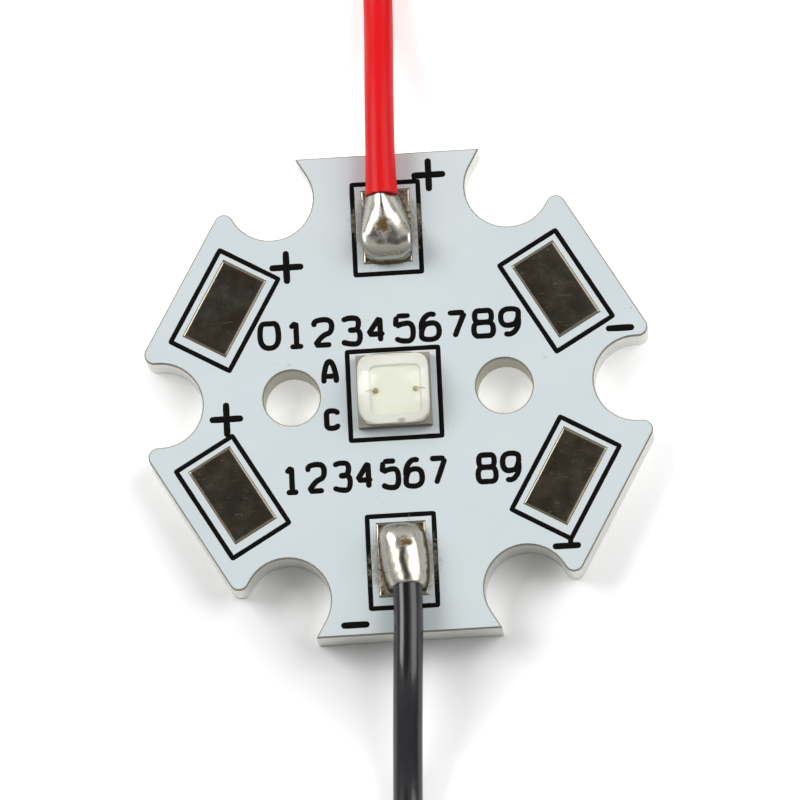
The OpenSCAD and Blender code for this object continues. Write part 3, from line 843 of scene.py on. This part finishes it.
for x, y in ((-4.3, 5.47), (1.66, 9.01)):
    ink_line([(x - PLUS_R, y), (x + PLUS_R, y)], SIGN_W)
    ink_line([(x, y - PLUS_R), (x, y + PLUS_R)], SIGN_W)
ink_line([(-7.7, -0.73), (-6.32, -0.73)], SIGN_W)
ink_line([(-7.0, -0.03), (-7.0, -1.48)], SIGN_W)
for x, y in ((9.13, 2.11), (6.52, -6.8), (-2.16, -9.56)):
    ink_line([(x - MINUS_R, y), (x + MINUS_R, y)], SIGN_W)
# The top plus and the lower right minus run into their frames.
ink_line([(1.02, 8.98), (1.14, 8.84)], SIGN_W)
ink_line([(6.7, -6.5), (6.66, -6.8)], LETTER_W)
ink_character("A", -2.98, 0.51, 0.51, 0.87)
ink_character("C", -2.94, -1.33, 0.48, 0.66)
ink_row("0123456789", -5.46, 2.13, 1.09, 0.68, 1.02)
ink_row("1234567 89", -4.78, -3.93, 0.99, 0.62, 1.06)
print("printed lines:", len(ink_curve.splines))

# %% [markdown]
# So far the lines are round tubes. The curve is turned into one mesh, and a scale
# along Z presses it flat. Half of it lies under the face of the board. What stays
# above is a low rounded ridge, as a line of thick ink is.

# %% Press the ink onto the board
INK_FLATNESS = 0.15

# Cured epoxy ink: warm black, matt, a little thin where the screen's mesh showed.
ink, tree, shader, coords = new_material("epoxy_ink", "060504", 0.5, Specular_IOR_Level=0.06)
mesh_print = add(tree, "ShaderNodeTexNoise", {"Vector": coords, "Scale": grain(0.09), "Detail": 2})
tone = add(tree, "ShaderNodeMix", {0: mesh_print, 6: "030302", 7: "100e0b"}, data_type="RGBA")
flux = flux_amount(tree, coords)
thread = add(tree, "ShaderNodeMath", {0: flux, 1: 0.8}, operation="MULTIPLY")
filmed = add(tree, "ShaderNodeMix", {0: thread, 6: tone, 7: "9b9484"}, data_type="RGBA")
give(shader, Base_Color=filmed)

ink_object = bpy.data.objects.new("ink_lines", ink_curve)
scene.collection.objects.link(ink_object)
bpy.context.view_layer.update()
depsgraph = bpy.context.evaluated_depsgraph_get()
bm = bmesh.new()
bm.from_mesh(bpy.data.meshes.new_from_object(ink_object.evaluated_get(depsgraph)))
bpy.data.objects.remove(ink_object)
bmesh.ops.scale(bm, verts=bm.verts, vec=(1, 1, INK_FLATNESS))
bmesh.ops.translate(bm, verts=bm.verts, vec=(0, 0, mask_top))
finish_piece("printed_marks", bm, ink, "printed_frames")

# %% [markdown]
# The LED is a ceramic tile, three millimetres square. Fired alumina lets a little
# light through, so its sides look honey-coloured rather than grey; they are also
# painted darker than the top, as painted shade. A chip with a yellowish-green
# phosphor coat sits in the middle, white silicone fills the rest of the tile, and
# two gold wires run from the chip to gold pads beside it.

# %% LED ceramic
# Fired alumina: matt, grey-white on top, honey-brown and painted darker as shade on its sawn sides.
ceramic, tree, shader, coords = new_material("fired_alumina", "8f7f69", 0.55, IOR=1.6)
normal = add(tree, "ShaderNodeNewGeometry").outputs["Normal"]
upward = add(tree, "ShaderNodeSeparateXYZ", {0: normal}).outputs["Z"]
clouds = add(tree, "ShaderNodeTexNoise", {"Vector": coords, "Scale": grain(0.5), "Detail": 4})
# Painted shade: faces turned sideways get a darker brown than the top.
tone = add(tree, "ShaderNodeMix", {0: clouds, 6: "4f4233", 7: "857560"}, data_type="RGBA")
fired_with_side_shade = add(tree, "ShaderNodeMix", {0: upward, 6: tone, 7: "938e82"}, data_type="RGBA")
give(shader, Base_Color=fired_with_side_shade)
dress(ceramic, "led_ceramic")

# %% [markdown]
# The chip shines blue, and a coat of phosphor powder in silicone turns that white.
# With the LED off, the coat is creamy with a hint of green. Powder has no gloss, so
# it is quite rough, with a noise as fine as the picture can show.

# %% LED chip
# Phosphor powder in silicone: creamy green, perfectly matt, fine-grained.
phosphor, tree, shader, coords = new_material("phosphor_coat", "f6f7ea", 0.8, IOR=1.41)
powder = add(tree, "ShaderNodeTexNoise", {"Vector": coords, "Scale": grain(0.05), "Detail": 2})
tone = add(tree, "ShaderNodeMix", {0: powder, 6: "f2f4e3", 7: "fafbf0"}, data_type="RGBA")
give(shader, Base_Color=tone)
dress(phosphor, "led_chip")

# %% [markdown]
# White silicone fills the tile round the chip. It is nearly pure white, and the
# protection diode under it shows through as a faint spot. The spot is a distance
# from the diode's middle, stretched to an oval and laid over the white.

# %% White silicone
# Titanium-white silicone: matt and bright, with a soft unevenness from casting.
white_silicone, tree, shader, coords = new_material("white_silicone", "f8f7f0", 0.6, IOR=1.41)
clouds = add(tree, "ShaderNodeTexNoise", {"Vector": coords, "Scale": grain(0.6), "Detail": 2})
tone = add(tree, "ShaderNodeMix", {0: clouds, 6: "f3f1e8", 7: "fcfcf8"}, data_type="RGBA")
diode_low, diode_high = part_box("led_protection_diode")
SPOT_AT = (diode_low + diode_high) / 2 - Vector((0.06, 0.1, 0)) * MM
shade = add(tree, "ShaderNodeMapRange", {
    "Value": stretched_distance(tree, coords, SPOT_AT, (0.6, 1.2, 0)),
    "From Min": 0.03 * MM, "From Max": 0.14 * MM, "To Min": 0.75, "To Max": 0,
}, interpolation_type="SMOOTHSTEP")
spotted = add(tree, "ShaderNodeMix", {0: shade, 6: tone, 7: "a9a795"}, data_type="RGBA")
give(shader, Base_Color=spotted)
print("spot at", [round(v / MM, 2) for v in SPOT_AT[:2]], "mm")

# %% [markdown]
# The silicone was poured round the chip up to a low dam. So the chip lies in a
# shallow tray with soft edges, and the edge at the back throws a faint shade on it.
# One grid makes that surface. Its height follows from one number, the distance to
# the chip's rounded outline: a little sunk on the chip, hidden inside it, then
# flush, then up over a soft shoulder.

# %% Cast filling
TRAY_CORNER = 0.16 * MM
TRAY_H = 0.13 * MM
TRAY_SLOPE = 0.09 * MM
CHIP_SINK = 0.03 * MM
BACK_CUSHION, FRONT_CUSHION = 8, 4.5
chip_low, chip_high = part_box("led_chip")
chip_middle = (chip_low + chip_high) / 2
chip_half = (chip_high[0] - chip_low[0]) / 2


def from_chip(x, y):
    """How far a point lies outside the chip's rounded outline, negative inside."""
    over_x = abs(x - chip_middle[0]) - chip_half + TRAY_CORNER
    over_y = abs(y - chip_middle[1]) - chip_half + TRAY_CORNER
    return math.hypot(max(over_x, 0), max(over_y, 0)) + min(max(over_x, over_y), 0) - TRAY_CORNER


def pull_to_cushion(flat, half, power):
    """Pulls a grid's point, from -1 to 1, to a square. A low power draws the corners in more."""
    share = max(abs(flat.x), abs(flat.y))
    reach = (abs(flat.x) ** power + abs(flat.y) ** power) ** (1 / power)
    return flat * half * (share / reach if reach > 0 else 1)


filling_low, filling_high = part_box("led_white_filling")
bm = bmesh.new()
bmesh.ops.create_grid(bm, x_segments=128, y_segments=128, size=1)
for v in bm.verts:
    power = BACK_CUSHION if v.co.y > 0 else FRONT_CUSHION
    flat = pull_to_cushion(v.co, (filling_high[0] - filling_low[0]) / 2, power)
    away = from_chip(flat.x + circuit_x, flat.y)
    rise = min(max(away / TRAY_SLOPE, 0), 1)
    lift = TRAY_H * rise * rise * (3 - 2 * rise) if away > 0 else -CHIP_SINK
    v.co = (flat.x + circuit_x, flat.y, filling_high[2] + lift)
drop_walls(bm, filling_low[2])
bmesh.ops.recalc_face_normals(bm, faces=bm.faces)
finish_piece("cast_filling", bm, white_silicone, "led_white_filling")

# %% [markdown]
# The protection diode leads a surge past the LED. It is a bare silicon die, and a
# film of the white silicone over it leaves it grey-brown. Little of it shows, so
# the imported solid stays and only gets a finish.

# %% Protection diode
# A silicon die under a dusting of white silicone: a grey-brown square.
die, tree, shader, coords = new_material("dusted_silicon", "b3ac9a", 0.5, IOR=1.41)
dust = add(tree, "ShaderNodeTexNoise", {"Vector": coords, "Scale": grain(0.12), "Detail": 2})
tone = add(tree, "ShaderNodeMix", {0: dust, 6: "948c7a", 7: "d4cfc0"}, data_type="RGBA")
give(shader, Base_Color=tone)
dress(die, "led_protection_diode")

# %% [markdown]
# Solder and wires hold well on gold, so the terminals and the bond pads are plated
# with it, and the two bond wires are drawn from it. One metal suits them all, with
# a noise that makes its gloss slightly uneven.

# %% Gold
# Plated and drawn gold: bright yellow metal, slightly satin.
gold, tree, shader, coords = new_material("gold", "cdbf92", 0.24, Metallic=1)
satin = add(tree, "ShaderNodeTexNoise", {"Vector": coords, "Scale": grain(0.08), "Detail": 2})
rough = add(tree, "ShaderNodeMapRange", {"Value": satin, "To Min": 0.15, "To Max": 0.35})
give(shader, Roughness=rough)
dress(gold, "led_terminals", "led_bond_pads", "bond_wire_left", "bond_wire_right")

# %% [markdown]
# The lens is clear silicone, cast over chip and wires. It is a shallow dome with
# four cut sides, so each wall has an arched top, and its corners are drawn in like
# a cushion's. A grid is pulled to that outline and lifted to the dome, its rim is
# extruded down to make the walls, and the rim's edge is bevelled because silicone
# doesn't keep a knife edge. The silicone reaches down a hair into the ceramic. So
# light passes from it straight into the chip and the filling, with no film of air
# between them.

# %% LED lens
DOME_R = 3 * MM
CUSHION = 6
LENS_SINK = 0.005 * MM
LENS_EDGE = 0.02 * MM
lens_low, lens_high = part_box("led_lens")
lens_half = (lens_high[0] - lens_low[0]) / 2
dome_centre_z = lens_high[2] - DOME_R

# Clear silicone rubber: like soft glass with a low IOR, very slightly hazy.
silicone, tree, shader, coords = new_material(
    "clear_silicone", "fbfcf7", 0.12, IOR=1.41, Transmission_Weight=1,
)
ripple = add(tree, "ShaderNodeTexNoise", {"Vector": coords, "Scale": grain(0.8), "Detail": 1})
bump = add(tree, "ShaderNodeBump", {"Height": ripple, "Strength": 0.15, "Distance": 0.01 * MM})
give(shader, Normal=bump)

bm = bmesh.new()
bmesh.ops.create_grid(bm, x_segments=64, y_segments=64, size=1)
for v in bm.verts:
    flat = pull_to_cushion(v.co, lens_half, CUSHION)
    v.co = (flat.x, flat.y, dome_centre_z + math.sqrt(DOME_R**2 - flat.x**2 - flat.y**2))
rim = drop_walls(bm, led_high[2] - LENS_SINK)
bmesh.ops.contextual_create(bm, geom=[e for e in bm.edges if e.is_boundary])
bmesh.ops.recalc_face_normals(bm, faces=bm.faces)
bmesh.ops.bevel(
    bm, geom=rim, offset=LENS_EDGE, segments=2, affect="EDGES", profile=0.5, material=-1,
    clamp_overlap=True,
)
bmesh.ops.translate(bm, verts=bm.verts, vec=(circuit_x, 0, 0))
finish_piece("cast_lens", bm, silicone, "led_lens")

# %% [markdown]
# Paste under the LED melted in an oven and froze as a thin film of solder. Only its
# edge shows, so a bright metal with a fine bump of crystals is enough.

# %% LED solder
# Reflowed solder paste: bright, fine-grained, only seen as a line under the LED.
paste, tree, shader, coords = new_material("reflowed_solder", "bdbdba", 0.3, Metallic=1)
crystals = add(tree, "ShaderNodeTexNoise", {"Vector": coords, "Scale": grain(0.07), "Detail": 3})
bump = add(tree, "ShaderNodeBump", {"Height": crystals, "Strength": 0.4, "Distance": 0.01 * MM})
give(shader, Normal=bump)
dress(paste, "led_solder_anode", "led_solder_cathode", "led_solder_heat")

# %% [markdown]
# A hand-soldered joint is a drop that froze. Fresh solder is a soft mirror, here
# and there frosted. Brown flux stays round its foot and in a spot on its top. Two
# masks find the flux, one by height and one by the distance from the spots, and
# noise frays them both.

# %% Solder and flux
FOOT_H = 0.85 * MM
SPOT_DEPTH = 0.05 * MM
# Solder that froze bright: a soft mirror, with brown flux round its foot.
solder, tree, shader, coords = new_material("frozen_solder", "b3b0a6", 0.2, Metallic=1)
frost = add(
    tree, "ShaderNodeTexNoise",
    {"Vector": coords, "Scale": grain(0.5), "Detail": 4, "Roughness": 0.6},
)
rough = add(
    tree, "ShaderNodeMapRange",
    {"Value": frost, "From Min": 0.3, "From Max": 0.7, "To Min": 0.17, "To Max": 0.33},
)
level = add(tree, "ShaderNodeSeparateXYZ", {0: coords}).outputs["Z"]
low = add(
    tree, "ShaderNodeMapRange",
    {"Value": level, "From Min": mask_top, "From Max": mask_top + FOOT_H, "To Min": 1.3, "To Max": 0},
)
spots = low
for place, reach in (
    (joint_place(red_points, 0, sideways=0, inwards=1.35), 0.85),
    (joint_place(black_points, math.pi, sideways=-0.08, inwards=1.74), 0.65),
):
    place.z = node_top("solder_joint_red") - SPOT_DEPTH
    distance = add(tree, "ShaderNodeVectorMath", {0: coords, 1: place}, operation="DISTANCE")
    near = add(
        tree, "ShaderNodeMapRange",
        {"Value": distance, "From Min": 0, "From Max": reach * MM, "To Min": 0.9, "To Max": 0},
    )
    spots = add(tree, "ShaderNodeMath", {0: spots, 1: near}, operation="MAXIMUM")
crust = add(
    tree, "ShaderNodeTexNoise",
    {"Vector": coords, "Scale": grain(0.3), "Detail": 5, "Roughness": 0.7},
)
scorch = add(tree, "ShaderNodeTexNoise", {"Vector": coords, "Scale": grain(0.14), "Detail": 3})
rosin = add(tree, "ShaderNodeMix", {0: scorch, 6: "241a0e", 7: "84704c"}, data_type="RGBA")
amount = add(tree, "ShaderNodeMath", {0: spots, 1: crust}, operation="ADD")
fluxed = add(
    tree, "ShaderNodeMapRange", {"Value": amount, "From Min": 0.95, "From Max": 1.2},
    interpolation_type="SMOOTHSTEP",
)
tone = add(tree, "ShaderNodeMix", {0: fluxed, 6: "b3b0a6", 7: rosin}, data_type="RGBA")
give(shader, Base_Color=tone)
rougher = add(tree, "ShaderNodeMath", {0: fluxed, 1: 0.35}, operation="MULTIPLY")
total = add(tree, "ShaderNodeMath", {0: rough, 1: rougher}, operation="ADD")
give(shader, Roughness=total)
bump = add(tree, "ShaderNodeBump", {"Height": frost, "Strength": 0.3, "Distance": 0.03 * MM})
give(shader, Normal=bump)
print(solder.name, "has", len(tree.nodes), "nodes")

# %% [markdown]
# The drop wets the whole pad, stands up as a full rounded loaf, and closes round
# the strands in the insulation's mouth. Each heap is a square grid whose lines
# crowd towards the rim, where the sides are steep. It is two millimetres wide, as
# the pad is, so x runs from -1 to 1. Its corners are drawn in, it narrows towards
# the wire, and each point is lifted by two profiles, one across and one along. The
# one across has a soft ridge over the strands. The sizes are in millimetres, in the
# lead's own frame, and scaled last.

# %% Heaps of solder
CORNER_PULL = 0.13
SKEW = 0.14
WIRE_END = -1.7
HEAP_SINK = 0.01
TO_WIRE_AT, TO_WIRE_L = -0.38, 0.9
LUMP, LUMP_W, SMALL_LUMP, SMALL_LUMP_W = 0.035, 0.9, 0.4, 0.4


def make_heap(
    name, turn, node, inner_y, inner_x, wire_x, narrow, height, crown, ridge, blunt, slope,
):
    """height and crown go from the inner half to the wire. A crown of 0 is flat, one of 0.5 round."""
    base = mask_top / MM - HEAP_SINK
    bm = bmesh.new()
    bmesh.ops.create_grid(bm, x_segments=96, y_segments=96, size=1)
    for v in bm.verts:
        x, y = math.sin(v.co.x * math.pi / 2), math.sin(v.co.y * math.pi / 2)
        along = (y + 1) / 2
        # 0 on the inner half and 1 near the wire, with a smooth change between them.
        to_wire = min(max((y - TO_WIRE_AT) / TO_WIRE_L, 0), 1)
        to_wire = to_wire * to_wire * (3 - 2 * to_wire)
        across = max(0, 1 - x * x) ** (crown[0] + (crown[1] - crown[0]) * to_wire)
        across *= 1 - ridge * to_wire * math.sqrt(x * x + blunt**2)
        # Level along most of its length, steep at the wire and as slope says at the inner end.
        lengthwise = max(0, 1 - y**12) ** 0.2 if y > 0 else max(0, 1 - abs(y) ** slope) ** 0.45
        lift = across * lengthwise * (height[0] + (height[1] - height[0]) * to_wire) * (1 - SKEW * x * y)
        flat_x = x * (1 - CORNER_PULL * y**4) * (1 - narrow * max(0, y) ** 1.5)
        flat_y = y * (1 - CORNER_PULL * x**4 if y < 0 else 1)
        place = Vector((
            inner_x + (wire_x - inner_x) * along + flat_x,
            inner_y + (WIRE_END - inner_y) * (flat_y + 1) / 2, 0,
        ))
        lump = noise.noise(place / LUMP_W + Vector((turn, 0, 0)))
        lump += SMALL_LUMP * noise.noise(place / SMALL_LUMP_W)
        v.co = (place.x, place.y, base + lift * (1 + LUMP * lump))
    bmesh.ops.contextual_create(bm, geom=[e for e in bm.edges if e.is_boundary])
    bmesh.ops.scale(bm, verts=bm.verts, vec=(MM, MM, MM))
    bmesh.ops.transform(bm, verts=bm.verts, matrix=lead_frame(turn))
    bmesh.ops.recalc_face_normals(bm, faces=bm.faces)
    finish_piece(name, bm, solder, node)


make_heap(
    "red_solder_heap", 0, "solder_joint_red", inner_y=-4.65, inner_x=0.06, wire_x=-0.1,
    narrow=0.26, height=(1.08, 1.25), crown=(0.03, 0.42), ridge=0.22, blunt=0.06, slope=6.5,
)
make_heap(
    "black_solder_heap", math.pi, "solder_joint_black", inner_y=-4.55, inner_x=0, wire_x=-0.17,
    narrow=0.12, height=(1.1, 1.12), crown=(0.46, 0.42), ridge=0.1, blunt=0.3, slope=3,
)

# %% [markdown]
# The leads' insulation is soft PVC, drawn through a die: glossy but never a mirror,
# with faint lines along its length and a dusty film from handling. The two leads
# differ in dye and gloss only, so one loop makes both.

# %% Insulation of the leads
# Extruded PVC: strong even colour, half gloss, finely uneven.
for lead, name, colour, dark, light, shine, dull in (
    (red_lead, "red_pvc", "de0610", "d8030c", "e40c18", 0.18, 0.4),
    (black_lead, "black_pvc", "1c1c20", "161619", "242429", 0.45, 0.18),
):
    pvc, tree, shader, coords = new_material(name, colour, dull, Specular_IOR_Level=shine)
    drawn = add(
        tree, "ShaderNodeMapping",
        {"Vector": coords, "Scale": (grain(0.25), grain(4), grain(0.25))},
    )
    lines = add(tree, "ShaderNodeTexNoise", {"Vector": drawn, "Scale": 1, "Detail": 3})
    tone = add(tree, "ShaderNodeMix", {0: lines, 6: dark, 7: light}, data_type="RGBA")
    give(shader, Base_Color=tone)
    film = add(tree, "ShaderNodeTexNoise", {"Vector": coords, "Scale": grain(0.35), "Detail": 3})
    rough = add(tree, "ShaderNodeMapRange", {"Value": film, "To Min": dull - 0.06, "To Max": dull + 0.06})
    give(shader, Roughness=rough)
    bump = add(tree, "ShaderNodeBump", {"Height": lines, "Strength": 0.2, "Distance": 0.02 * MM})
    give(shader, Normal=bump)
    lead.data.materials.append(pvc)
    print(pvc.name, "on", lead.name)

# %% [markdown]
# The strands are copper wires with a bright coat of tin, bare at both ends of a
# lead. The strips that hold the stored coils are thin white paper-like tape. Both
# lie out of the picture or in the solder, so plain finishes do.

# %% Strands and ties
# Tinned copper strand: bright silvery metal with fine drawing lines.
tinned, tree, shader, coords = new_material("tinned_copper", "cfcecb", 0.22, Metallic=1)
drawn = add(tree, "ShaderNodeTexNoise", {"Vector": coords, "Scale": grain(0.12), "Detail": 2})
rough = add(tree, "ShaderNodeMapRange", {"Value": drawn, "To Min": 0.12, "To Max": 0.38})
give(shader, Roughness=rough)
dress(tinned, "strands_red", "strands_black", "red_lead_tip", "black_lead_tip")

# Paper tape: matt off-white with short fibres.
tape, tree, shader, coords = new_material("paper_tape", "e9e7e0", 0.8)
fibres = add(
    tree, "ShaderNodeTexNoise",
    {"Vector": coords, "Scale": grain(0.2), "Detail": 4, "Distortion": 2},
)
tone = add(tree, "ShaderNodeMix", {0: fibres, 6: "dedbd2", 7: "f2f0ea"}, data_type="RGBA")
give(shader, Base_Color=tone)
dress(tape, "red_coil_tie", "black_coil_tie")

# %% [markdown]
# The last cell measures the box of the dressed board and prints it.

# %% Measure and finish
low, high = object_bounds()
print("visual box in mm:", [round(1000 * v, 2) for v in (*low, *high)])
